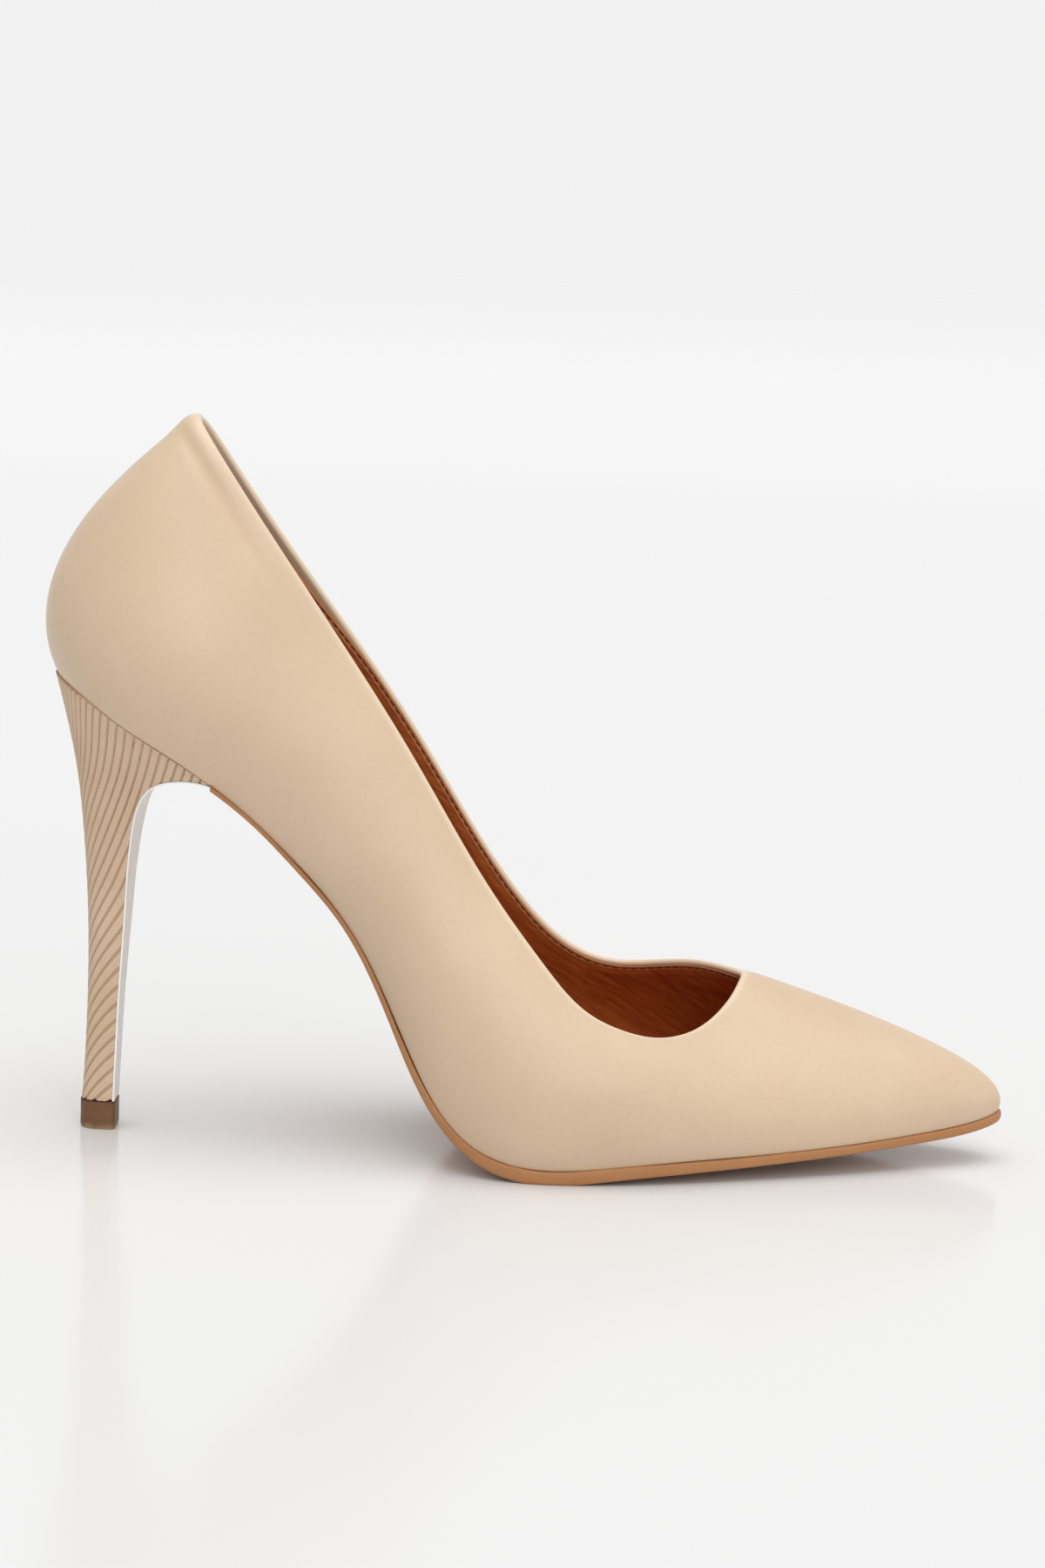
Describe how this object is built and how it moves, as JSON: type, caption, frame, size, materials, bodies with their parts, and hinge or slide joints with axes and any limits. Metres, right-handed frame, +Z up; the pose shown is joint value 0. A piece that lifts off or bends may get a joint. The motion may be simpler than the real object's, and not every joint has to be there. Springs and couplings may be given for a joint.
{
  "type": "high heel pump",
  "caption": "Pointed-toe stiletto pump with a low-cut topline, slender ribbed heel, thin sole and leather lining, for the right foot.",
  "frame": {"origin": "floor level, under the middle of the shoe's bounding box", "axes": "+X towards the toe, +Y towards the inner (big toe) side, +Z up"},
  "size_m": [0.2151, 0.082, 0.1606],
  "materials": {
    "upper_leather": "smooth full grain with a satin sheen",
    "lining_leather": "matt with fine wrinkles",
    "sole_leather": "waxed edge",
    "textile_tape": "woven",
    "stiffener": "matt",
    "interlining": "woven",
    "cork": "granular",
    "foam": "matt",
    "fibreboard": "matt",
    "steel": "brushed",
    "brass": "satin",
    "heel_plastic": "matt",
    "ribbed_cover": "ribbed, satin",
    "breast_strip": "smooth satin",
    "top_piece_rubber": "matt"
  },
  "bodies": {
    "root": {"upper": "upper_leather", "topline_tape": "textile_tape", "heel_counter": "stiffener", "side_interlining_outer": "interlining", "toe_puff": "stiffener", "side_interlining_inner": "interlining", "heel_grip": "lining_leather", "quarter_lining_outer": "lining_leather", "vamp_lining": "lining_leather", "quarter_lining_inner": "lining_leather", "outsole": "sole_leather", "bottom_filler": "cork", "sock": "lining_leather", "ball_pad": "foam", "heel_pad": "foam", "insole_board": "fibreboard", "shank_board": "fibreboard", "steel_shank": "steel", "heel_core": "heel_plastic", "heel_cover": "ribbed_cover", "heel_breast_strip": "breast_strip", "top_piece": "top_piece_rubber", "top_piece_pin": "steel", "heel_dowel": "steel", "heel_screw": "steel", "heel_nails": "steel", "shank_rivets": "brass"}
  },
  "joints": []
}
